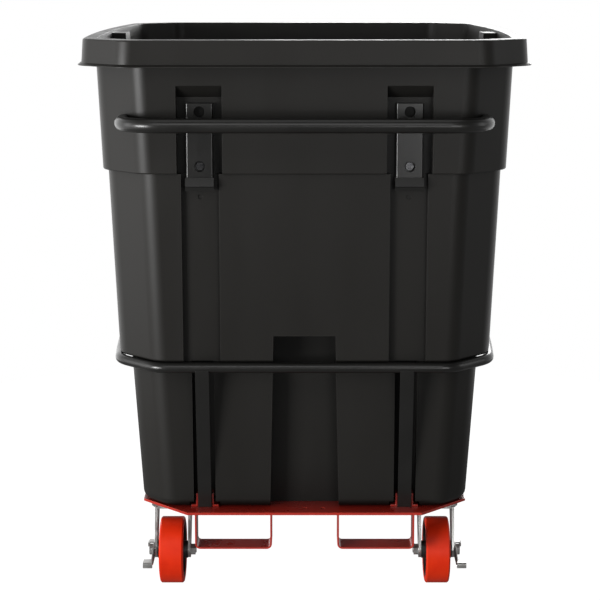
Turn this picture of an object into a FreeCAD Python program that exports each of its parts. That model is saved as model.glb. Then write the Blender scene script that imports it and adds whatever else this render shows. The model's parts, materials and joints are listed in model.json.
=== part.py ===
import FreeCAD, Part
import math
import os

from FreeCAD import Vector

# Bulk container truck: a moulded bin on a steel base plate with fork pockets, a support ring,
# push handles at both ends, two swivel casters with brakes at -Y and two rigid casters at +Y.
# Millimetres, +Z up, origin on the floor under the middle of the truck.

# Heights
WHEEL_RADIUS = 63.5
PLATE_BOTTOM = 165.0
PLATE_THICKNESS = 4.8
PLATE_TOP = PLATE_BOTTOM + PLATE_THICKNESS
BIN_BOTTOM = PLATE_TOP + 0.2
RING_Z = 450.5
LEDGE_Z = 460.5
RECESS_TOP = 510.0
BAND_Z = 811.0
HANDLE_Z = 905.0
SKIRT_BOTTOM = 1004.0
RIM_TOP = 1052.0

# Bin: outer half sizes as (height, half width, half length, chamfer, side bow)
WALL = 5.0
LOWER = [(BIN_BOTTOM, 308.0, 440.0, 48.0, 12.0), (LEDGE_Z, 326.0, 458.0, 50.0, 12.0)]
MIDDLE = [(LEDGE_Z, 347.0, 484.0, 74.0, 18.0), (BAND_Z, 362.0, 499.0, 77.0, 18.0)]
BAND = [(BAND_Z, 371.0, 507.0, 78.0, 18.0), (RIM_TOP - WALL, 381.0, 518.0, 78.0, 18.0)]
RIM = [(SKIRT_BOTTOM, 403.0, 547.5, 78.0, 18.0), (RIM_TOP, 400.0, 544.5, 78.0, 18.0)]
END_RADIUS = 48.0
SIDE_RADIUS = 60.0
FOOT_RADIUS = 16.0
LEDGE_RADIUS = 5.0
BAND_RADIUS = 2.5
RIM_EDGE_RADIUS = 3.0
SKIRT_FLARE = 6.0
SKIRT_FLARE_HEIGHT = 5.0
SKIRT_THICKNESS = 4.0

# Features of the bin's end walls, all centred on the strap line
STRAP_X = 188.5
POCKET_HALF = 41.0
POCKET_TOP = 976.0
POCKET_ROOF = 27.0
CHANNEL_HALF = 34.0
SLOT_HALF = 20.5
NOTCH_HALF = 29.0
NOTCH_TOP = 181.0
RECESS_HALF_TOP = 57.0
RECESS_HALF_BOTTOM = 65.0
GROOVE_HALF = 36.0
DIMPLE_Z = 768.0
DIMPLE_RADIUS = 4.5

# Steel base
PLATE_HALF_WIDTH = 309.0
PLATE_HALF_LENGTH = 473.0
PLATE_CHAMFER = 89.0
TIE_HOLE_X = (0.0, 34.0)
TIE_HOLE_Y = -445.0
TIE_HOLE_RADIUS = 4.5
LOOP_X = 133.5
LOOP_WIDTH = 144.4
LOOP_DEPTH = 66.0
LOOP_STRAP = 3.2
LOOP_LENGTH = 50.0
LOOP_CORNER = 10.0

# Support ring and its uprights
RING_RADIUS = 9.5
RING_PATH = (RING_Z, 347.0, 484.0, 74.0, 18.0)
STRAP_WIDTH = 25.4
STRAP_THICKNESS = 5.0
STRAP_TOP = 447.0
CLIP_THICKNESS = 4.0
CLIP_HEIGHT = 26.0
CLIP_FOOT = 13.0
CLIP_Y = (411.0, 436.0)

# Push handle and its brackets
HANDLE_RADIUS = 12.7
HANDLE_Y = 584.0
HANDLE_HALF_WIDTH = 326.0
HANDLE_BEND = 71.0
BRACKET_WIDTH = 48.5
BRACKET_FACE_Y = 504.0
BRACKET_Z = (805.0, 938.0)
BRACKET_THICKNESS = 3.5
BRACKET_HOLE_Z = 923.0
BRACKET_HOLE_RADIUS = 10.0
LIP_WIDTH = 51.6
LIP_OUTLINE = [
    (490, 805), (507, 805), (515, 790), (510, 788), (508, 781), (502, 781), (502, 797), (490, 797),
]
STUB_RADIUS = 7.5
HANDLE_BOLT_Z = 825.0
SEAT_Y = 494.0
SEAT_RADIUS = 12.0
NUT_Y = 481.0

# Casters, in a local frame: swivel axis or plate centre at x = y = 0, outer side at +X
CASTER_X = 255.0
SWIVEL_Y = -337.0
RIGID_Y = 350.0
TRAIL = 35.0
CASTER_PLATE = (84.0, 100.0, 4.8)
CASTER_HOLES = (32.0, 40.0)
RACE_RADIUS = 31.0
RACE_BOTTOM = 155.0
CUP_RADIUS = 29.0
CUP_TOP = 154.5
CROWN_Z = (144.0, 149.0)
LEG_INNER = 29.6
LEG_OUTER = 34.4
BOSS_RADIUS = 15.5
KINGPIN_RADIUS = 6.0
BALL_COUNT = 14
BALL_RADIUS = 2.5
BALL_CIRCLE = 22.0
AXLE_RADIUS = 6.35
RUNNING_GAP = 0.05
CLEARANCE = 0.3
HUB_HALF = 28.8
TREAD_HALF = 22.5
TREAD_INNER = 52.0
TREAD_BEVEL = 2.5
LEVER_THICKNESS = 3.0
PEDAL_REACH = 15.0
TAB_REACH = 14.0

# Fasteners
BOLT_RADIUS = 4.0
HOLE_RADIUS = 4.4
BIN_BOLTS = (150.0, 250.0)

FAR = 700.0
X_AXIS = Vector(1, 0, 0)
Y_AXIS = Vector(0, 1, 0)
Z_AXIS = Vector(0, 0, 1)
ORIGIN = Vector(0, 0, 0)


# Small helpers

def flip_x(shape):
    return shape.mirror(ORIGIN, X_AXIS)


def flip_y(shape):
    return shape.mirror(ORIGIN, Y_AXIS)


def moved(shape, x=0.0, y=0.0, z=0.0):
    copy = shape.copy()
    copy.translate(Vector(x, y, z))
    return copy


def fused(shapes):
    first, rest = shapes[0], shapes[1:]
    return first.fuse(rest).removeSplitter() if rest else first


def cut(shape, tools):
    for tool in tools:
        shape = shape.cut(tool)
    return shape


def box(x0, x1, y0, y1, z0, z1):
    return Part.makeBox(x1 - x0, y1 - y0, z1 - z0, Vector(x0, y0, z0))


def prism(points, direction):
    wire = Part.makePolygon(points + points[:1])
    return Part.Face(wire).extrude(direction)


def prism_x(outline, x0, x1):
    """Extrude an outline of (y, z) points along X."""
    return prism([Vector(x0, y, z) for y, z in outline], Vector(x1 - x0, 0, 0))


def prism_y(outline, y0, y1):
    """Extrude an outline of (x, z) points along Y."""
    return prism([Vector(x, y0, z) for x, z in outline], Vector(0, y1 - y0, 0))


def rod_x(radius, x0, x1, y=0.0, z=0.0):
    return Part.makeCylinder(radius, x1 - x0, Vector(x0, y, z), X_AXIS)


def rod_y(radius, y0, y1, x=0.0, z=0.0):
    return Part.makeCylinder(radius, y1 - y0, Vector(x, y0, z), Y_AXIS)


def rod_z(radius, z0, z1, x=0.0, y=0.0):
    return Part.makeCylinder(radius, z1 - z0, Vector(x, y, z0), Z_AXIS)


def hexagon(across_flats, length, start, axis, bore=0.0):
    """A hexagonal prism along an axis, with an optional bore."""
    corner = across_flats / math.sqrt(3)
    turns = [math.radians(60 * k) for k in range(6)]
    points = [Vector(corner * math.cos(a), corner * math.sin(a), 0) for a in turns]
    head = prism(points, Vector(0, 0, length))
    if bore:
        head = head.cut(rod_z(bore, -1, length + 1))
    head.Placement = FreeCAD.Placement(start, FreeCAD.Rotation(Z_AXIS, axis))
    return head


def fillet_edges(shape, radius, wanted):
    edges = [e for e in shape.Edges if wanted(e)]
    return shape.makeFillet(radius, edges)


def along(edge, axis):
    ends = [v.Point for v in edge.Vertexes]
    return len(ends) == 2 and (ends[1] - ends[0]).normalize().cross(axis).Length < 1e-6


# The bin's plan: chamfered corners, straight ends and bowed sides

def corner_points(half_width, half_length, chamfer, bow, inset):
    """Ends and middles of the two corner arcs in the +X +Y quadrant."""
    width = half_width - inset
    length = half_length - inset
    chamfer = chamfer - inset * (2 - math.sqrt(2))
    end_radius = END_RADIUS - inset
    side_radius = SIDE_RADIUS - inset
    side_end = length - chamfer
    bow_radius = (side_end ** 2 + bow ** 2) / (2 * bow)
    slope = Vector(-1, 1, 0).normalize()
    outer = Vector(width, side_end, 0)
    inner = Vector(width - chamfer, length, 0)

    # The side arc is tangent to the bowed side and to the chamfer.
    inward = Vector(-1, -1, 0).normalize()
    bow_centre = Vector(width + bow - bow_radius, 0, 0)
    start = outer + inward * side_radius - bow_centre
    half_b = start.dot(slope)
    reach = -half_b - math.sqrt(half_b ** 2 - start.dot(start) + (bow_radius - side_radius) ** 2)
    side_stop = outer + slope * reach
    side_centre = side_stop + inward * side_radius
    outward = (side_centre - bow_centre).normalize()
    side_start = bow_centre + outward * bow_radius
    side_middle = side_centre + (outward - inward).normalize() * side_radius

    reach = end_radius * math.tan(math.pi / 8)
    end_start = inner - slope * reach
    end_stop = inner + Vector(-reach, 0, 0)
    end_centre = end_stop + Vector(0, -end_radius, 0)
    end_middle = end_centre + (inner - end_centre).normalize() * end_radius
    return [side_start, side_middle, side_stop, end_start, end_middle, end_stop]


def plan_wire(level, inset=0.0):
    z, half_width, half_length, chamfer, bow = level
    corner = corner_points(half_width, half_length, chamfer, bow, inset)
    quadrants = []
    for sx, sy in ((1, 1), (-1, 1), (-1, -1), (1, -1)):
        points = [Vector(sx * p.x, sy * p.y, z) for p in corner]
        quadrants.append(points if sx * sy > 0 else points[::-1])
    edges = []
    for k, points in enumerate(quadrants):
        following = quadrants[(k + 1) % 4][0]
        edges.append(Part.Arc(*points[0:3]).toShape())
        edges.append(Part.makeLine(points[2], points[3]))
        edges.append(Part.Arc(*points[3:6]).toShape())
        if k % 2:
            side = half_width - inset + bow
            middle = Vector(-side if k == 1 else side, 0, z)
            edges.append(Part.Arc(points[5], middle, following).toShape())
        else:
            edges.append(Part.makeLine(points[5], following))
    return Part.Wire(edges)


def level_at(profile, z):
    """A profile's level at height z, on the straight line through its two ends."""
    low, high = profile
    share = (z - low[0]) / (high[0] - low[0])
    return (z,) + tuple(a + share * (b - a) for a, b in zip(low[1:], high[1:]))


def drafted(profile, inset=0.0, low=None, high=None, foot_radius=0.0):
    """A drafted solid of the plan, with an optional rounded lower edge."""
    low = profile[0][0] if low is None else low
    high = profile[1][0] if high is None else high
    wires = []
    steps = 6 if foot_radius else 0
    for k in range(steps):
        turn = math.radians(90.0 * k / steps)
        z = low + foot_radius * (1 - math.cos(turn))
        wires.append(plan_wire(level_at(profile, z), inset + foot_radius * (1 - math.sin(turn))))
    wires.append(plan_wire(level_at(profile, low + foot_radius), inset))
    wires.append(plan_wire(level_at(profile, high), inset))
    return Part.makeLoft(wires, True, True)


# The bin

def end_pocket(half, low, high, back_low, back_high, roof=0.0, x=STRAP_X, grow=0.0):
    """A pocket in the +Y end wall; grow makes the lump that it leaves inside the bin."""
    outline = [
        (FAR, low - grow),
        (back_low - grow, low - grow),
        (back_high - grow, high - roof + grow),
        (back_high + roof, high + grow),
        (FAR, high + grow),
    ]
    return prism_x(outline, x - half - grow, x + half + grow)


def strap_line_pockets(grow=0.0):
    """Bracket pocket, channel, slot and foot notch on the +X side of the +Y end wall."""
    return [
        end_pocket(POCKET_HALF, BAND_Z, POCKET_TOP, 486, 493, POCKET_ROOF, grow=grow),
        end_pocket(CHANNEL_HALF, LEDGE_Z - 6, BAND_Z + 1, 473, 488, grow=grow),
        end_pocket(SLOT_HALF, BIN_BOTTOM - 6, LEDGE_Z + 1, 405, 430, grow=grow),
        end_pocket(NOTCH_HALF, BIN_BOTTOM - 6, NOTCH_TOP, 405, 406, grow=grow),
    ]


def centre_recess(grow=0.0):
    """The recess in the middle of the +Y end wall, wider at its foot."""
    low, high = BIN_BOTTOM - 6, RECESS_TOP
    sides = [
        (RECESS_HALF_BOTTOM + grow, low - grow),
        (RECESS_HALF_TOP + grow, high + grow),
        (-RECESS_HALF_TOP - grow, high + grow),
        (-RECESS_HALF_BOTTOM - grow, low - grow),
    ]
    depth = end_pocket(RECESS_HALF_BOTTOM, low, high, 402, 425, x=0.0, grow=grow)
    return prism_y(sides, 0, FAR).common(depth)


def side_groove(grow=0.0):
    """The upright groove in the middle of the +X side wall."""
    low, high = BIN_BOTTOM - 6, RIM_TOP - 2 * WALL
    outline = [
        (FAR, low - grow),
        (292 - grow, low - grow),
        (371 - grow, high + grow),
        (FAR, high + grow),
    ]
    return prism_y(outline, -GROOVE_HALF - grow, GROOVE_HALF + grow)


def bin_hollows(grow=0.0):
    quarter = strap_line_pockets(grow)
    end = quarter + [flip_x(p) for p in quarter] + [centre_recess(grow)]
    groove = side_groove(grow)
    return end + [flip_y(p) for p in end] + [groove, flip_x(groove)]


def rim_shell():
    """The out-turned rim: a flat flange with a flared skirt."""
    edge = RIM_EDGE_RADIUS
    flare_top = SKIRT_BOTTOM + SKIRT_FLARE_HEIGHT
    outside = Part.makeLoft([
        plan_wire(level_at(RIM, SKIRT_BOTTOM), -SKIRT_FLARE),
        plan_wire(level_at(RIM, SKIRT_BOTTOM + 1.5), -SKIRT_FLARE),
        plan_wire(level_at(RIM, flare_top), 0),
        plan_wire(level_at(RIM, RIM_TOP - edge), 0),
        plan_wire(level_at(RIM, RIM_TOP - 0.3 * edge), 0.3 * edge),
        plan_wire(level_at(RIM, RIM_TOP), edge),
    ], True, True)
    inside = Part.makeLoft([
        plan_wire(level_at(RIM, SKIRT_BOTTOM - 1), SKIRT_THICKNESS - SKIRT_FLARE),
        plan_wire(level_at(RIM, flare_top + 1), SKIRT_THICKNESS),
        plan_wire(level_at(RIM, RIM_TOP - WALL), SKIRT_THICKNESS),
    ], True, True)
    return outside.cut(inside)


def outer_body():
    return fused([
        drafted(LOWER, foot_radius=FOOT_RADIUS, high=LEDGE_Z + 8),
        drafted(MIDDLE, foot_radius=LEDGE_RADIUS),
        drafted(BAND, foot_radius=BAND_RADIUS),
    ])


def cavity():
    foot = FOOT_RADIUS - WALL
    space = fused([
        drafted(LOWER, WALL, low=BIN_BOTTOM + WALL, high=LEDGE_Z + 2 * WALL, foot_radius=foot),
        drafted(MIDDLE, WALL, low=LEDGE_Z + WALL, high=BAND_Z + 2 * WALL),
        drafted(BAND, WALL, low=BAND_Z + WALL, high=RIM_TOP + 1),
    ])
    return cut(space, bin_hollows(WALL))


def make_bin():
    body = cut(outer_body(), bin_hollows())
    body = body.fuse(rim_shell()).cut(cavity())
    holes = [rod_z(HOLE_RADIUS, BIN_BOTTOM - 5, BIN_BOTTOM + 15, x, y) for x, y in bin_bolt_places()]
    for sx in (-1, 1):
        for sy in (-1, 1):
            x = sx * STRAP_X
            through = rod_y(HOLE_RADIUS, 470, 520, x, HANDLE_BOLT_Z)
            dimple = rod_y(DIMPLE_RADIUS, 484, 520, x, DIMPLE_Z)
            holes += [through, dimple] if sy > 0 else [flip_y(through), flip_y(dimple)]
    return cut(body, holes)


# The steel base

def bin_bolt_places():
    x, y = BIN_BOLTS
    return [(sx * x, sy * y) for sx in (-1, 1) for sy in (-1, 1)]


def caster_bolt_places():
    hole_x, hole_y = CASTER_HOLES
    centres = [(sx * CASTER_X, y) for sx in (-1, 1) for y in (SWIVEL_Y, RIGID_Y)]
    return [(x + sx * hole_x, y + sy * hole_y) for x, y in centres for sx in (-1, 1) for sy in (-1, 1)]


def flush_bolt(grow=0.0):
    """A countersunk bolt with its head flush with the plate's top."""
    head = Part.makeCone(BOLT_RADIUS + grow, 8 + grow, 4, Vector(0, 0, PLATE_TOP - 4), Z_AXIS)
    return head.fuse(rod_z(BOLT_RADIUS + grow, PLATE_BOTTOM - 14, PLATE_TOP - 2)).removeSplitter()


def make_base_plate():
    w, l, c = PLATE_HALF_WIDTH, PLATE_HALF_LENGTH, PLATE_CHAMFER
    quarter = [(w, l - c), (w - c, l)]
    points = []
    for sx, sy in ((1, 1), (-1, 1), (-1, -1), (1, -1)):
        side = [(sx * x, sy * y) for x, y in quarter]
        points += side if sx * sy > 0 else side[::-1]
    plate = prism([Vector(x, y, PLATE_BOTTOM) for x, y in points], Vector(0, 0, PLATE_THICKNESS))
    plate = fillet_edges(plate, 4.0, lambda e: along(e, Z_AXIS))
    holes = [rod_z(HOLE_RADIUS, 150, 180, x, y) for x, y in bin_bolt_places()]
    holes += [rod_z(TIE_HOLE_RADIUS, 150, 180, x, TIE_HOLE_Y) for x in TIE_HOLE_X]
    holes += [moved(flush_bolt(0.1), x, y) for x, y in caster_bolt_places()]
    return cut(plate, holes)


def make_fork_loop():
    """A U of flat strap under the plate's +Y edge, on the +X side."""
    half = LOOP_WIDTH / 2
    y0, y1 = PLATE_HALF_LENGTH - LOOP_LENGTH, PLATE_HALF_LENGTH
    low = PLATE_BOTTOM - LOOP_DEPTH

    def rounded(inset, top):
        block = box(LOOP_X - half + inset, LOOP_X + half - inset, y0, y1, low + inset, top)
        radius = LOOP_CORNER - inset
        return fillet_edges(block, radius, lambda e: along(e, Y_AXIS) and e.CenterOfMass.z < low + radius)

    return rounded(0.0, PLATE_BOTTOM).cut(rounded(LOOP_STRAP, PLATE_BOTTOM + 1))


# The support ring, its uprights and their clips

def sweep(path, radius):
    """A round bar along a wire of tangent lines and arcs."""
    pieces = []
    for edge in path.Edges:
        first, last = edge.FirstParameter, edge.LastParameter
        start, middle, end = [edge.valueAt(first + k * (last - first) / 2) for k in (0, 1, 2)]
        disc = Part.Face(Part.Wire(Part.makeCircle(radius, start, edge.tangentAt(first))))
        if edge.Curve.TypeId == "Part::GeomLine":
            pieces.append(disc.extrude(end - start))
        else:
            centre, axis = edge.Curve.Center, edge.Curve.Axis
            forward = (start - centre).cross(middle - centre).dot(axis) > 0
            turn = math.degrees(edge.Length / edge.Curve.Radius)
            pieces.append(disc.revolve(centre, axis, turn if forward else -turn))
    return pieces[0].fuse(pieces[1:])


def make_support_ring():
    return sweep(plan_wire(RING_PATH), RING_RADIUS)


def make_end_upright(ring):
    """A flat strap leaning from the plate out to the ring, in the +Y end's +X slot."""
    foot, top = 438.0, 494.0
    outline = [
        (foot - STRAP_THICKNESS, PLATE_TOP),
        (foot, PLATE_TOP),
        (top, STRAP_TOP),
        (top - STRAP_THICKNESS, STRAP_TOP),
    ]
    return prism_x(outline, STRAP_X - STRAP_WIDTH / 2, STRAP_X + STRAP_WIDTH / 2).cut(ring)


def make_side_upright(ring):
    """A flat strap from the plate's +X edge out to the ring."""
    foot, top = PLATE_HALF_WIDTH, 370.0
    outline = [
        (foot, PLATE_BOTTOM),
        (foot + STRAP_THICKNESS, PLATE_BOTTOM),
        (foot + STRAP_THICKNESS, PLATE_TOP + 4),
        (top + STRAP_THICKNESS, STRAP_TOP),
        (top, STRAP_TOP),
        (foot, PLATE_TOP + 4),
    ]
    return prism_y(outline, -STRAP_WIDTH / 2, STRAP_WIDTH / 2).cut(ring)


def make_clips():
    """The angle clips each side of every end upright."""
    gap = STRAP_WIDTH / 2 + 0.2
    outline = [
        (gap, PLATE_TOP),
        (gap + CLIP_FOOT, PLATE_TOP),
        (gap + CLIP_FOOT, PLATE_TOP + CLIP_THICKNESS),
        (gap + CLIP_THICKNESS, PLATE_TOP + CLIP_THICKNESS),
        (gap + CLIP_THICKNESS, PLATE_TOP + CLIP_HEIGHT),
        (gap, PLATE_TOP + CLIP_HEIGHT),
    ]
    one = prism_y(outline, *CLIP_Y)
    pair = [moved(one, STRAP_X), moved(flip_x(one), STRAP_X)]
    end = pair + [flip_x(c) for c in pair]
    return Part.makeCompound(end + [flip_y(c) for c in end])


# The push handle and its brackets

def handle_path():
    straight = HANDLE_HALF_WIDTH - HANDLE_BEND
    knee = HANDLE_Y - HANDLE_BEND
    middle = HANDLE_BEND * math.sin(math.pi / 4)
    edges = []
    for side in (1, -1):
        leg_end = Vector(side * HANDLE_HALF_WIDTH, 440, HANDLE_Z)
        leg_top = Vector(side * HANDLE_HALF_WIDTH, knee, HANDLE_Z)
        bend = Vector(side * (straight + middle), knee + middle, HANDLE_Z)
        bend_end = Vector(side * straight, HANDLE_Y, HANDLE_Z)
        if side > 0:
            edges += [Part.makeLine(leg_end, leg_top), Part.Arc(leg_top, bend, bend_end).toShape()]
            edges.append(Part.makeLine(bend_end, Vector(-straight, HANDLE_Y, HANDLE_Z)))
        else:
            edges += [Part.Arc(bend_end, bend, leg_top).toShape(), Part.makeLine(leg_top, leg_end)]
    return Part.Wire(edges)


def make_handle():
    return sweep(handle_path(), HANDLE_RADIUS).cut(drafted(BAND))


def make_bracket(handle):
    """A pressed channel with a bolt seat, a stub to the handle and a lower lip."""
    low, high = BRACKET_Z
    half = BRACKET_WIDTH / 2
    skin = BRACKET_THICKNESS
    face = BRACKET_FACE_Y
    channel = prism_x([(488.6, low), (face, low), (face, high), (493.5, high)], -half, half)
    channel = fillet_edges(channel, 3.0, lambda e: along(e, Z_AXIS))
    channel = channel.cut(box(skin - half, half - skin, 480, face - skin, low - 1, high - skin))
    seat = rod_y(SEAT_RADIUS, 487.6, face - 1, 0, HANDLE_BOLT_Z)
    lip = prism_x(LIP_OUTLINE, -LIP_WIDTH / 2, LIP_WIDTH / 2)
    stub = rod_y(STUB_RADIUS, face - 1, HANDLE_Y, 0, HANDLE_Z)
    bracket = fused([channel, seat, lip, stub])
    bracket = bracket.cut(rod_y(SEAT_RADIUS - 2, SEAT_Y, FAR, 0, HANDLE_BOLT_Z))
    bracket = bracket.cut(rod_y(HOLE_RADIUS, 480, FAR, 0, HANDLE_BOLT_Z))
    bracket = bracket.cut(rod_y(BRACKET_HOLE_RADIUS, 480, FAR, 0, BRACKET_HOLE_Z))
    return moved(bracket, STRAP_X).cut(handle)


def make_handle_bolt():
    head = hexagon(13, 5.3, Vector(STRAP_X, SEAT_Y, HANDLE_BOLT_Z), Y_AXIS)
    return head.fuse(rod_y(BOLT_RADIUS, 470, SEAT_Y + 1, STRAP_X, HANDLE_BOLT_Z)).removeSplitter()


def make_handle_nut():
    return hexagon(13, 6.5, Vector(STRAP_X, NUT_Y - 6.5, HANDLE_BOLT_Z), Y_AXIS, BOLT_RADIUS)


# Fasteners of the base

def make_bin_bolt():
    floor = BIN_BOTTOM + WALL
    dome = Part.makeSphere(16, Vector(0, 0, floor - 11)).common(rod_z(20, floor, floor + 10))
    return dome.fuse(rod_z(BOLT_RADIUS, 150, floor + 1)).removeSplitter()


def make_bin_nut():
    return hexagon(13, 6.5, Vector(0, 0, PLATE_BOTTOM - 6.5), Z_AXIS, BOLT_RADIUS)


def make_caster_nut():
    bottom = PLATE_BOTTOM - CASTER_PLATE[2] - 6.5
    return hexagon(13, 6.5, Vector(0, 0, bottom), Z_AXIS, BOLT_RADIUS)


def at_places(shape, places):
    return Part.makeCompound([moved(shape, x, y) for x, y in places])


# Casters

def caster_plate():
    width, length, thickness = CASTER_PLATE
    plate = box(-width / 2, width / 2, -length / 2, length / 2, PLATE_BOTTOM - thickness, PLATE_BOTTOM)
    plate = fillet_edges(plate, 6.0, lambda e: along(e, Z_AXIS))
    hole_x, hole_y = CASTER_HOLES
    holes = [rod_z(HOLE_RADIUS, 150, 170, sx * hole_x, sy * hole_y) for sx in (-1, 1) for sy in (-1, 1)]
    return cut(plate, holes)


def ball_groove():
    height = (RACE_BOTTOM + CUP_TOP) / 2
    return Part.makeTorus(BALL_CIRCLE, BALL_RADIUS + CLEARANCE, Vector(0, 0, height), Z_AXIS)


def make_swivel_plate():
    race = rod_z(RACE_RADIUS, RACE_BOTTOM, PLATE_BOTTOM - 1)
    race = fillet_edges(race, 2.5, lambda e: abs(e.CenterOfMass.z - RACE_BOTTOM) < 0.1 and e.Closed)
    plate = caster_plate().fuse(race).removeSplitter()
    return plate.cut(rod_z(KINGPIN_RADIUS, 140, 170)).cut(ball_groove())


def make_kingpin():
    low = CROWN_Z[0] - CLEARANCE
    head = Part.makeCone(8.0, 11.0, 5.5, Vector(0, 0, low - 5.5), Z_AXIS)
    return head.fuse(rod_z(KINGPIN_RADIUS, low - 1, PLATE_BOTTOM)).removeSplitter()


def make_balls():
    height = (RACE_BOTTOM + CUP_TOP) / 2
    balls = []
    for k in range(BALL_COUNT):
        turn = 2 * math.pi * k / BALL_COUNT
        place = Vector(BALL_CIRCLE * math.cos(turn), BALL_CIRCLE * math.sin(turn), height)
        balls.append(Part.makeSphere(BALL_RADIUS, place))
    return Part.makeCompound(balls)


def leg_pair(outline, axle_y):
    boss = rod_x(BOSS_RADIUS, LEG_INNER, LEG_OUTER, axle_y, WHEEL_RADIUS)
    leg = fused([prism_x(outline, LEG_INNER, LEG_OUTER), boss])
    return [leg, flip_x(leg)]


def axle_bore(axle_y):
    return rod_x(AXLE_RADIUS + RUNNING_GAP, -60, 60, axle_y, WHEEL_RADIUS)


def make_yoke():
    """The swivel yoke: a ball cup and a crown with two legs that trail to the axle."""
    low, high = CROWN_Z
    front, back = -32.0, 28.0
    legs = leg_pair([(back, high - 2), (front, high - 2), (-TRAIL - 15, 66), (-TRAIL + 13, 56)], -TRAIL)
    crown = box(-LEG_OUTER, LEG_OUTER, front, back, low, high)
    crown = fillet_edges(crown, 4.0, lambda e: along(e, Y_AXIS) and e.CenterOfMass.z > high - 0.1)
    cup = rod_z(CUP_RADIUS, high - 1, CUP_TOP)
    cup = fillet_edges(cup, 3.0, lambda e: abs(e.CenterOfMass.z - CUP_TOP) < 0.1 and e.Closed)
    yoke = fused([crown, cup] + legs)
    return cut(yoke, [rod_z(KINGPIN_RADIUS + RUNNING_GAP, 100, 170), ball_groove(), axle_bore(-TRAIL)])


def make_rigid_fork():
    """The rigid fork: the plate and two upright legs."""
    top = PLATE_BOTTOM - CASTER_PLATE[2]
    legs = leg_pair([(32, top + 1), (-32, top + 1), (-15, 62), (15, 62)], 0.0)
    return fused([caster_plate()] + legs).cut(axle_bore(0.0))


def make_axle(y, head_start):
    head = hexagon(19, 7.5, Vector(head_start, y, WHEEL_RADIUS), X_AXIS)
    return head.fuse(rod_x(AXLE_RADIUS, -LEG_OUTER - 11, head_start + 1, y, WHEEL_RADIUS)).removeSplitter()


def make_axle_nut(y):
    return hexagon(19, 9.0, Vector(-LEG_OUTER - 9.0, y, WHEEL_RADIUS), X_AXIS, AXLE_RADIUS)


def make_brake_lever():
    """A side rocker on the axle: brake pedal in front, release tab behind, both turned outward."""
    x0 = LEG_OUTER + CLEARANCE
    x1 = x0 + LEVER_THICKNESS
    y, z = -TRAIL, WHEEL_RADIUS
    web = prism_x([
        (y - 64, z - 9), (y - 50, z + 1), (y - 8, z + 13), (y + 10, z + 12),
        (y + 46, z + 4), (y + 46, z - 6), (y + 8, z - 13), (y - 10, z - 13), (y - 50, z - 14),
    ], x0, x1)
    web = web.fuse(rod_x(14.0, x0, x1, y, z))
    pedal = prism_x([
        (y - 46, z - 7), (y - 46, z - 4), (y - 66, z - 4), (y - 69, z - 7),
        (y - 69, z - 14), (y - 66, z - 14), (y - 66, z - 7),
    ], x0, x1 + PEDAL_REACH)
    tab = prism_y([
        (x0, z + 4), (x1 + TAB_REACH - 3, z + 4), (x1 + TAB_REACH, z + 1), (x1 + TAB_REACH, z - 6),
        (x1 + TAB_REACH - 3, z - 6), (x1 + TAB_REACH - 3, z + 1), (x0, z + 1),
    ], y + 32, y + 48)
    lever = fused([web, pedal, tab])
    return lever.cut(rod_x(AXLE_RADIUS + RUNNING_GAP, x0 - 1, x1 + 1, y, z))


# Wheels, with the axle along X through the origin

def lathe_x(outline):
    """A solid of revolution about X from an outline of (x, radius) points."""
    points = [Vector(x, r, 0) for x, r in outline]
    return Part.Face(Part.makePolygon(points + points[:1])).revolve(ORIGIN, X_AXIS, 360)


def make_tread():
    half, bevel, outer = TREAD_HALF, TREAD_BEVEL, WHEEL_RADIUS
    return lathe_x([
        (-half, TREAD_INNER), (half, TREAD_INNER), (half + 0.8, 57), (half, outer - bevel),
        (half - bevel, outer), (bevel - half, outer), (-half, outer - bevel), (-half - 0.8, 57),
    ])


def make_core():
    """Rim, web, hub and eight ribs on each face."""
    rim, hub, web = TREAD_INNER, 18.0, 4.0
    core = lathe_x([
        (-HUB_HALF, 11), (HUB_HALF, 11), (HUB_HALF, hub - 1.5), (web, hub), (web, 46), (22, 47),
        (22, rim), (-22, rim), (-22, 47), (-web, 46), (-web, hub), (-HUB_HALF, hub - 1.5),
    ])
    rib = box(-17, 17, -1.8, 1.8, hub - 2, 48)
    ribs = []
    for k in range(8):
        turned = rib.copy()
        turned.rotate(ORIGIN, X_AXIS, 45 * k)
        ribs.append(turned)
    return fused([core] + ribs)


def make_bearing():
    return rod_x(11, -HUB_HALF, HUB_HALF).cut(rod_x(AXLE_RADIUS + RUNNING_GAP, -60, 60))


# Assembly

def both_sides(shape):
    return {"right": shape, "left": flip_x(shape)}


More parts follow.
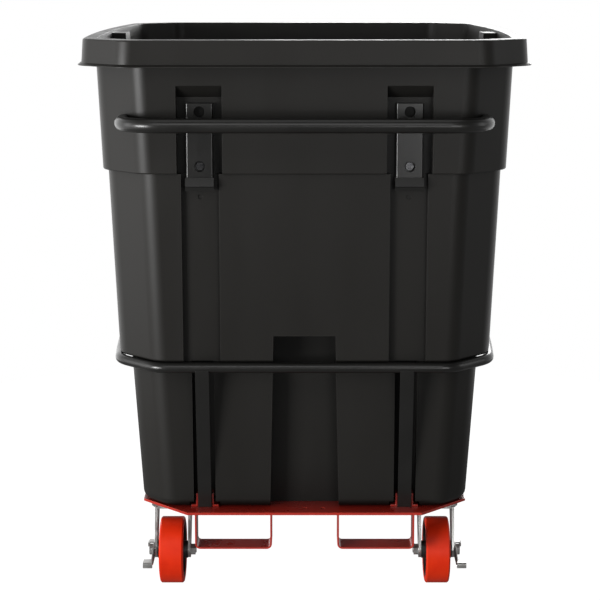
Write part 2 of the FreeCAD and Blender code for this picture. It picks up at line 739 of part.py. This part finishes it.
def build():
    nodes = {"bin": make_bin(), "base_plate": make_base_plate(), "strap_clips": make_clips()}
    ring = make_support_ring()
    nodes["support_ring"] = ring
    handle = make_handle()
    nodes["push_handle_rear"] = handle
    nodes["push_handle_front"] = flip_y(handle)

    for side, shape in both_sides(make_side_upright(ring)).items():
        nodes[f"upright_side_{side}"] = shape
    end_pieces = {
        "fork_loop": make_fork_loop(),
        "upright": make_end_upright(ring),
        "handle_bracket": make_bracket(handle),
    }
    for name, piece in end_pieces.items():
        for side, shape in both_sides(piece).items():
            nodes[f"{name}_rear_{side}"] = shape
            nodes[f"{name}_front_{side}"] = flip_y(shape)

    for name, one in (("handle_bolts", make_handle_bolt()), ("handle_nuts", make_handle_nut())):
        pair = [one, flip_x(one)]
        nodes[name] = Part.makeCompound(pair + [flip_y(p) for p in pair])
    nodes["bin_bolts"] = at_places(make_bin_bolt(), bin_bolt_places())
    nodes["bin_nuts"] = at_places(make_bin_nut(), bin_bolt_places())
    nodes["caster_bolts"] = at_places(flush_bolt(), caster_bolt_places())
    nodes["caster_nuts"] = at_places(make_caster_nut(), caster_bolt_places())

    lever_side = LEG_OUTER + LEVER_THICKNESS + 2 * CLEARANCE
    swivel_pieces = {
        "swivel_plate": make_swivel_plate(),
        "kingpin": make_kingpin(),
        "yoke": make_yoke(),
        "swivel_balls": make_balls(),
        "front_axle": make_axle(-TRAIL, lever_side),
        "front_axle_nut": make_axle_nut(-TRAIL),
        "brake_lever": make_brake_lever(),
    }
    rigid_pieces = {
        "rigid_fork": make_rigid_fork(),
        "rear_axle": make_axle(0.0, LEG_OUTER),
        "rear_axle_nut": make_axle_nut(0.0),
    }
    wheel_pieces = {"tread": make_tread(), "core": make_core(), "bearing": make_bearing()}
    for side, sign in (("left", -1), ("right", 1)):
        def placed(shape, x, y, z=0.0):
            return moved(shape if sign > 0 else flip_x(shape), sign * x, y, z)

        for name, piece in swivel_pieces.items():
            nodes[f"{name}_{side}"] = placed(piece, CASTER_X, SWIVEL_Y)
        for name, piece in rigid_pieces.items():
            nodes[f"{name}_{side}"] = placed(piece, CASTER_X, RIGID_Y)
        for name, piece in wheel_pieces.items():
            nodes[f"front_{name}_{side}"] = placed(piece, CASTER_X, SWIVEL_Y - TRAIL, WHEEL_RADIUS)
            nodes[f"rear_{name}_{side}"] = placed(piece, CASTER_X, RIGID_Y, WHEEL_RADIUS)
    return nodes


def main():
    os.makedirs("parts", exist_ok=True)
    nodes = build()
    for name, shape in sorted(nodes.items()):
        size = shape.BoundBox
        solids = len(shape.Solids)
        print(f"{name:24s} solids {solids:3d} valid {shape.isValid()} volume {shape.Volume / 1000:9.1f} cm3"
              f"  x {size.XMin:7.1f} {size.XMax:7.1f}  y {size.YMin:7.1f} {size.YMax:7.1f}"
              f"  z {size.ZMin:7.1f} {size.ZMax:7.1f}")
        shape.exportStep(f"parts/{name}.step")
    print(len(nodes), "nodes")


main()
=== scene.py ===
import json
import math

import bmesh
import bpy
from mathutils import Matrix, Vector


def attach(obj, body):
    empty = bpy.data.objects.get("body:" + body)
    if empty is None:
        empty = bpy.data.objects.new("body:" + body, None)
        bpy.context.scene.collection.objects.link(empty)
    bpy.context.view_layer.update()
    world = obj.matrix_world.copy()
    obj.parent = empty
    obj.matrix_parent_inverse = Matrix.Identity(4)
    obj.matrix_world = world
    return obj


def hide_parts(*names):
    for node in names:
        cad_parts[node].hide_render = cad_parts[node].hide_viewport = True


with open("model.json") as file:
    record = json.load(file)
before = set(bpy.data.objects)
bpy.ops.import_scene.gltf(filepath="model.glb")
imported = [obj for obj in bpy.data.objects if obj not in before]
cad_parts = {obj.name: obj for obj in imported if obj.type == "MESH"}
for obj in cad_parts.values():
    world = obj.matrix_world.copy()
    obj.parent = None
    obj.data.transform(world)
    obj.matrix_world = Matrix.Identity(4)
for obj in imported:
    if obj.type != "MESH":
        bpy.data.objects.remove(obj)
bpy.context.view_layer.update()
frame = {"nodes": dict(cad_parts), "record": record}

# Camera: place in metres, pitch in degrees, lens in millimetres, shift as a share of the frame
CAMERA_Y = -3.510
CAMERA_Z = 1.168
CAMERA_PITCH = 8.8
SENSOR_WIDTH = 36.0
LENS = 101.1
SHIFT_RIGHT = -0.00767
SHIFT_UP = -0.11

# Surroundings, in metres; the floor glows brightly only to the camera
FLOOR_RADIUS = 1.5
FLOOR_GLOW = 0.98
FLOOR_LIGHT = 0.08
LIGHT_TARGET = (0.0, 0.0, 0.6)

# Clean-up and edge rounding of the sheet, pressed and moulded pieces, in metres and radians
MERGE_DISTANCE = 2e-6
FLAT_ANGLE = math.radians(0.6)
SHARP_ANGLE = math.radians(28)
FACE_WEIGHT = 100


# Node helpers

def new_material(name):
    material = bpy.data.materials.new(name)
    material.use_nodes = True
    tree = material.node_tree
    shader = tree.nodes["Principled BSDF"]
    place = tree.nodes.new("ShaderNodeTexCoord")
    return material, tree, shader, place.outputs["Object"]


def noise(tree, vector, scale, detail, roughness, stretch=None):
    if stretch:
        mapping = tree.nodes.new("ShaderNodeMapping")
        mapping.inputs["Scale"].default_value = stretch
        tree.links.new(vector, mapping.inputs["Vector"])
        vector = mapping.outputs["Vector"]
    node = tree.nodes.new("ShaderNodeTexNoise")
    node.inputs["Scale"].default_value = scale
    node.inputs["Detail"].default_value = detail
    node.inputs["Roughness"].default_value = roughness
    tree.links.new(vector, node.inputs["Vector"])
    return node.outputs["Fac"]


def spread(tree, value, low, high, start=0.0, end=1.0):
    """Maps a value from start..end to low..high."""
    node = tree.nodes.new("ShaderNodeMapRange")
    ends = {"From Min": start, "From Max": end, "To Min": low, "To Max": high}
    for name, number in ends.items():
        node.inputs[name].default_value = number
    tree.links.new(value, node.inputs["Value"])
    return node.outputs["Result"]


def mix_colour(tree, factor, first, second):
    """Blends two colours, each a tuple or a socket, by a socket's value."""
    node = tree.nodes.new("ShaderNodeMix")
    node.data_type = "RGBA"
    for socket, colour in ((node.inputs["A"], first), (node.inputs["B"], second)):
        if isinstance(colour, tuple):
            socket.default_value = (*colour, 1.0)
        else:
            tree.links.new(colour, socket)
    tree.links.new(factor, node.inputs["Factor"])
    return node.outputs["Result"]


def clouded(tree, cloud, first, second, start=0.3, end=0.7):
    """Two close shades of a colour, in the patches of a noise."""
    return mix_colour(tree, spread(tree, cloud, 0.0, 1.0, start, end), first, second)


def mixed_in(tree, mask, share, below, colour):
    """A colour laid over another where a mask is bright, at most by the given share."""
    return mix_colour(tree, math_node(tree, "MULTIPLY", mask, share), below, colour)


def math_node(tree, operation, *values):
    node = tree.nodes.new("ShaderNodeMath")
    node.operation = operation
    for socket, value in zip(node.inputs, values):
        if isinstance(value, (int, float)):
            socket.default_value = value
        else:
            tree.links.new(value, socket)
    return node.outputs["Value"]


def bump(tree, shader, height, strength, distance, below=None):
    """Raises the surface by a height, over the normal of a bump below it if there is one."""
    node = tree.nodes.new("ShaderNodeBump")
    node.inputs["Strength"].default_value = strength
    node.inputs["Distance"].default_value = distance
    tree.links.new(height, node.inputs["Height"])
    if below is not None:
        tree.links.new(below, node.inputs["Normal"])
    tree.links.new(node.outputs["Normal"], shader.inputs["Normal"])
    return node.outputs["Normal"]


def painted_shade_mask(tree, distance):
    """Bright in pockets and under overhangs, which marks where painted shade darkens the colour.
    """
    node = tree.nodes.new("ShaderNodeAmbientOcclusion")
    node.samples = 6
    node.inputs["Distance"].default_value = distance
    return spread(tree, node.outputs["AO"], 1.0, 0.0, 0.25, 0.9)


def edge_mask(tree, radius):
    """Bright along edges, from the angle between the rounded and the true normal."""
    bevel = tree.nodes.new("ShaderNodeBevel")
    bevel.samples = 4
    bevel.inputs["Radius"].default_value = radius
    geometry = tree.nodes.new("ShaderNodeNewGeometry")
    dot = tree.nodes.new("ShaderNodeVectorMath")
    dot.operation = "DOT_PRODUCT"
    tree.links.new(bevel.outputs["Normal"], dot.inputs[0])
    tree.links.new(geometry.outputs["Normal"], dot.inputs[1])
    return spread(tree, dot.outputs["Value"], 1.0, 0.0, 0.72, 0.97)


# Materials

def bin_plastic():
    """Moulded black polyethylene: fine grain, faint flow marks, light rubbing on the edges and
    painted shade in pockets and under overhangs.
    """
    material, tree, shader, place = new_material("bin_plastic")
    broad = noise(tree, place, 2.2, 4.0, 0.55)
    flow = noise(tree, place, 9.0, 5.0, 0.6, (1.0, 1.0, 0.18))
    grain = noise(tree, place, 1500.0, 2.0, 0.6)
    pores = noise(tree, place, 420.0, 3.0, 0.6)
    base = clouded(tree, broad, (0.0108, 0.0101, 0.0090), (0.0132, 0.0125, 0.0112))
    rubbed = mixed_in(tree, edge_mask(tree, 0.004), 0.35, base, (0.032, 0.031, 0.028))
    # Painted shade: near-black colour laid into pockets and under overhangs, where shade falls
    with_painted_shade = mixed_in(tree, painted_shade_mask(tree, 0.09), 0.85, rubbed, (0.002, 0.002, 0.0018))
    tree.links.new(with_painted_shade, shader.inputs["Base Color"])
    streaks = spread(tree, flow, 0.36, 0.46, 0.3, 0.7)
    rough = math_node(tree, "ADD", streaks, spread(tree, grain, -0.03, 0.03))
    tree.links.new(rough, shader.inputs["Roughness"])
    shader.inputs["Specular IOR Level"].default_value = 0.22
    ripple = bump(tree, shader, broad, 0.10, 0.002)
    pitted = bump(tree, shader, pores, 0.10, 0.0002, ripple)
    bump(tree, shader, grain, 0.10, 0.0001, pitted)
    return material


def black_paint():
    """Semi-gloss black powder coat with a slight orange peel."""
    material, tree, shader, place = new_material("black_paint")
    peel = noise(tree, place, 380.0, 2.0, 0.5)
    haze = noise(tree, place, 14.0, 4.0, 0.6)
    base = clouded(tree, haze, (0.0065, 0.0063, 0.0058), (0.0085, 0.0083, 0.0076))
    worn = mixed_in(tree, edge_mask(tree, 0.0015), 0.3, base, (0.03, 0.029, 0.027))
    tree.links.new(worn, shader.inputs["Base Color"])
    tree.links.new(spread(tree, haze, 0.28, 0.37, 0.3, 0.7), shader.inputs["Roughness"])
    shader.inputs["Specular IOR Level"].default_value = 0.42
    shader.inputs["Coat Weight"].default_value = 0.20
    shader.inputs["Coat Roughness"].default_value = 0.22
    bump(tree, shader, peel, 0.04, 0.0002)
    return material


def red_paint():
    """Gloss orange-red powder coat, paler over the edges, where it thins, with painted shade
    darkening its corners and crevices.
    """
    material, tree, shader, place = new_material("red_paint")
    peel = noise(tree, place, 330.0, 2.0, 0.5)
    haze = noise(tree, place, 8.0, 5.0, 0.6)
    scuffs = noise(tree, place, 14.0, 3.0, 0.5, (1.0, 0.3, 1.0))
    base = clouded(tree, haze, (0.32, 0.015, 0.008), (0.40, 0.022, 0.011))
    thin = mixed_in(tree, edge_mask(tree, 0.0012), 0.55, base, (0.80, 0.13, 0.07))
    # Painted shade: dark red laid into corners and crevices, where shade falls
    with_painted_shade = mixed_in(tree, painted_shade_mask(tree, 0.07), 0.8, thin, (0.07, 0.004, 0.003))
    tree.links.new(with_painted_shade, shader.inputs["Base Color"])
    sheen = spread(tree, haze, 0.24, 0.32, 0.3, 0.7)
    rough = math_node(tree, "ADD", sheen, spread(tree, scuffs, 0.0, 0.06, 0.55, 0.75))
    tree.links.new(rough, shader.inputs["Roughness"])
    shader.inputs["Coat Weight"].default_value = 0.35
    shader.inputs["Coat Roughness"].default_value = 0.10
    bump(tree, shader, peel, 0.03, 0.0002)
    return material


def zinc():
    """Bright zinc plate on pressed steel: faint rolling lines and a cloudy passivated film."""
    material, tree, shader, place = new_material("zinc")
    cloud = noise(tree, place, 55.0, 5.0, 0.6)
    lines = noise(tree, place, 300.0, 3.0, 0.6, (1.0, 1.0, 0.06))
    speck = noise(tree, place, 900.0, 2.0, 0.6)
    base = clouded(tree, cloud, (0.50, 0.49, 0.47), (0.68, 0.68, 0.67), 0.35, 0.65)
    dark = mix_colour(tree, spread(tree, speck, 0.0, 0.35, 0.60, 0.75), base, (0.25, 0.24, 0.23))
    tree.links.new(dark, shader.inputs["Base Color"])
    film = spread(tree, cloud, 0.26, 0.40, 0.3, 0.7)
    rough = math_node(tree, "ADD", film, spread(tree, lines, -0.04, 0.05))
    tree.links.new(rough, shader.inputs["Roughness"])
    shader.inputs["Metallic"].default_value = 1.0
    bump(tree, shader, lines, 0.08, 0.0002)
    return material


def red_tread():
    """Poured polyurethane: slightly translucent, with fine turning lines round the wheel."""
    material, tree, shader, place = new_material("red_tread")
    haze = noise(tree, place, 20.0, 4.0, 0.6)
    dust = noise(tree, place, 260.0, 5.0, 0.7)
    base = clouded(tree, haze, (0.58, 0.020, 0.003), (0.68, 0.031, 0.005))
    dusty = mix_colour(tree, spread(tree, dust, 0.0, 0.25, 0.60, 0.80), base, (0.38, 0.022, 0.006))
    tree.links.new(dusty, shader.inputs["Base Color"])
    tree.links.new(spread(tree, dust, 0.34, 0.48, 0.3, 0.7), shader.inputs["Roughness"])
    shader.inputs["Subsurface Weight"].default_value = 0.05
    shader.inputs["Subsurface Radius"].default_value = (0.006, 0.0012, 0.0005)
    shader.inputs["Specular IOR Level"].default_value = 0.18
    turning = noise(tree, place, 40.0, 2.0, 0.5, (60.0, 0.4, 0.4))
    bump(tree, shader, turning, 0.05, 0.0003)
    return material


def black_oxide():
    """Oil-blacked steel of the handle bolts."""
    material, tree, shader, place = new_material("black_oxide")
    film = noise(tree, place, 160.0, 4.0, 0.6)
    base = clouded(tree, film, (0.10, 0.10, 0.11), (0.18, 0.18, 0.18))
    tree.links.new(base, shader.inputs["Base Color"])
    tree.links.new(spread(tree, film, 0.16, 0.28, 0.3, 0.7), shader.inputs["Roughness"])
    shader.inputs["Metallic"].default_value = 1.0
    bump(tree, shader, film, 0.05, 0.0002)
    return material


def wheel_core():
    """Glass-filled black nylon."""
    material, tree, shader, place = new_material("wheel_core")
    grain = noise(tree, place, 700.0, 3.0, 0.6)
    haze = noise(tree, place, 30.0, 4.0, 0.6)
    base = clouded(tree, haze, (0.011, 0.011, 0.011), (0.022, 0.022, 0.021))
    tree.links.new(base, shader.inputs["Base Color"])
    tree.links.new(spread(tree, haze, 0.42, 0.55, 0.3, 0.7), shader.inputs["Roughness"])
    bump(tree, shader, grain, 0.10, 0.0002)
    return material


# Pieces

def rounded_copy(node, width):
    """A copy of a CAD node's mesh with its sharp edges rounded, which stands for the node."""
    source = frame["nodes"][node]
    mesh = source.data.copy()
    work = bmesh.new()
    work.from_mesh(mesh)
    bmesh.ops.remove_doubles(work, verts=work.verts, dist=MERGE_DISTANCE)
    bmesh.ops.dissolve_limit(work, angle_limit=FLAT_ANGLE, verts=work.verts, edges=work.edges)
    work.to_mesh(mesh)
    work.free()
    for polygon in mesh.polygons:
        polygon.use_smooth = True
    piece = bpy.data.objects.new(node + "_finish", mesh)
    bpy.context.scene.collection.objects.link(piece)
    bevel = piece.modifiers.new("rounding", "BEVEL")
    bevel.width = width
    bevel.segments = 2
    bevel.limit_method = "ANGLE"
    bevel.angle_limit = SHARP_ANGLE
    bevel.use_clamp_overlap = True
    weighted = piece.modifiers.new("flat_faces", "WEIGHTED_NORMAL")
    weighted.mode = "FACE_AREA"
    weighted.weight = FACE_WEIGHT
    weighted.keep_sharp = True
    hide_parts(node)
    return piece


def body_of(node):
    for body, members in frame["record"]["behaviour"]["bodies"].items():
        if node in members:
            return body
    raise KeyError(node)


def dress(obj, material):
    obj.data.materials.clear()
    obj.data.materials.append(material)


# The record's material slots; the handle bolts alone have a finish of their own
MATERIALS = {
    "bin_plastic": bin_plastic(),
    "black_paint": black_paint(),
    "red_paint": red_paint(),
    "zinc": zinc(),
    "red_tread": red_tread(),
    "wheel_core": wheel_core(),
}
BOLT_FINISH = black_oxide()

# Edge radius in metres, by how a node's name starts; the other nodes keep their CAD mesh
ROUNDING = {
    "bin": 0.0016,
    "base_plate": 0.0006,
    "strap_clips": 0.0006,
    "fork_loop": 0.0006,
    "upright": 0.0008,
    "handle_bracket": 0.0008,
    "swivel_plate": 0.0006,
    "rigid_fork": 0.0006,
    "yoke": 0.0006,
    "brake_lever": 0.0008,
    "front_core": 0.0008,
    "rear_core": 0.0008,
}


def dress_all():
    for part in frame["record"]["subparts"]:
        node, slot_name = part["node"], part["material_slot"]
        width = next((w for start, w in ROUNDING.items() if node.startswith(start)), None)
        if width is None:
            finish = BOLT_FINISH if node == "handle_bolts" else MATERIALS[slot_name]
            dress(frame["nodes"][node], finish)
            continue
        piece = rounded_copy(node, width)
        dress(piece, MATERIALS[slot_name])
        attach(piece, body_of(node))


# Surroundings

def make_floor():
    bpy.ops.mesh.primitive_circle_add(
        vertices=96, radius=FLOOR_RADIUS, fill_type="NGON", location=(0, 0, 0)
    )
    floor = bpy.context.object
    floor.name = "studio_floor"
    material, tree, shader, place = new_material("studio_floor")
    cloud = noise(tree, place, 0.6, 3.0, 0.5)
    pale = mix_colour(tree, cloud, (0.13, 0.13, 0.13), (0.15, 0.15, 0.15))
    tree.links.new(pale, shader.inputs["Base Color"])
    shader.inputs["Roughness"].default_value = 0.9
    shader.inputs["Specular IOR Level"].default_value = 0.1
    shader.inputs["Emission Color"].default_value = (1.0, 1.0, 1.0, 1.0)
    path = tree.nodes.new("ShaderNodeLightPath")
    glow = spread(tree, path.outputs["Is Camera Ray"], FLOOR_LIGHT, FLOOR_GLOW)
    tree.links.new(glow, shader.inputs["Emission Strength"])
    floor.data.materials.append(material)


def make_world():
    """Bright behind the truck and on its left, dim overhead, in front and on its right.

    The camera sees plain white instead.
    """
    world = bpy.data.worlds.new("studio")
    bpy.context.scene.world = world
    world.use_nodes = True
    tree = world.node_tree
    background = tree.nodes["Background"]
    place = tree.nodes.new("ShaderNodeTexCoord")
    parts = tree.nodes.new("ShaderNodeSeparateXYZ")
    tree.links.new(place.outputs["Generated"], parts.inputs["Vector"])
    side = spread(tree, parts.outputs["X"], 1.1, 0.32, -0.95, 0.6)
    front = spread(tree, parts.outputs["Y"], 0.20, 1.0, -0.9, 0.0)
    behind = spread(tree, parts.outputs["Y"], 0.0, 0.8, 0.2, 0.8)
    round_about = math_node(tree, "ADD", math_node(tree, "MULTIPLY", side, front), behind)
    ceiling = spread(tree, parts.outputs["Z"], 1.0, 0.25, 0.15, 0.85)
    light = math_node(tree, "MULTIPLY", round_about, ceiling)
    seen = tree.nodes.new("ShaderNodeLightPath").outputs["Is Camera Ray"]
    unseen = math_node(tree, "MULTIPLY", light, math_node(tree, "SUBTRACT", 1.0, seen))
    tree.links.new(math_node(tree, "ADD", unseen, seen), background.inputs["Strength"])
    background.inputs["Color"].default_value = (1.0, 1.0, 1.0, 1.0)


def softbox(name, place, width, height, power):
    """A white area light, in metres and watts, that faces the truck's middle."""
    data = bpy.data.lights.new(name, "AREA")
    data.shape = "RECTANGLE"
    data.size = width
    data.size_y = height
    data.energy = power
    lamp = bpy.data.objects.new(name, data)
    bpy.context.scene.collection.objects.link(lamp)
    lamp.location = place
    aim = Vector(LIGHT_TARGET) - Vector(place)
    lamp.rotation_euler = aim.to_track_quat("-Z", "Y").to_euler()


def make_lights():
    softbox("key_front_left", (-3.4, -3.5, 0.75), 1.8, 1.2, 225.0)
    softbox("fill_front_right", (1.4, -4.3, 0.9), 1.6, 1.2, 32.0)
    softbox("front_high", (-0.3, -3.6, 3.0), 2.4, 1.4, 20.0)
    softbox("side_left", (-3.8, -0.8, 1.2), 1.2, 2.6, 20.0)
    softbox("side_right", (3.8, -0.6, 1.6), 1.2, 2.0, 9.0)
    softbox("behind", (0.8, 4.2, 1.8), 2.0, 1.6, 60.0)
    softbox("top", (0.0, -0.2, 4.2), 2.4, 2.4, 10.0)


def make_camera():
    data = bpy.data.cameras.new("camera")
    data.sensor_width = SENSOR_WIDTH
    data.lens = LENS
    data.shift_x = SHIFT_RIGHT
    data.shift_y = SHIFT_UP
    data.clip_start = 0.05
    data.clip_end = 200.0
    camera = bpy.data.objects.new("camera", data)
    bpy.context.scene.collection.objects.link(camera)
    camera.location = (0.0, CAMERA_Y, CAMERA_Z)
    camera.rotation_euler = (math.radians(90.0 - CAMERA_PITCH), 0.0, 0.0)
    bpy.context.scene.camera = camera


dress_all()
make_floor()
make_world()
make_lights()
make_camera()
bpy.context.scene.view_settings.view_transform = "Standard"
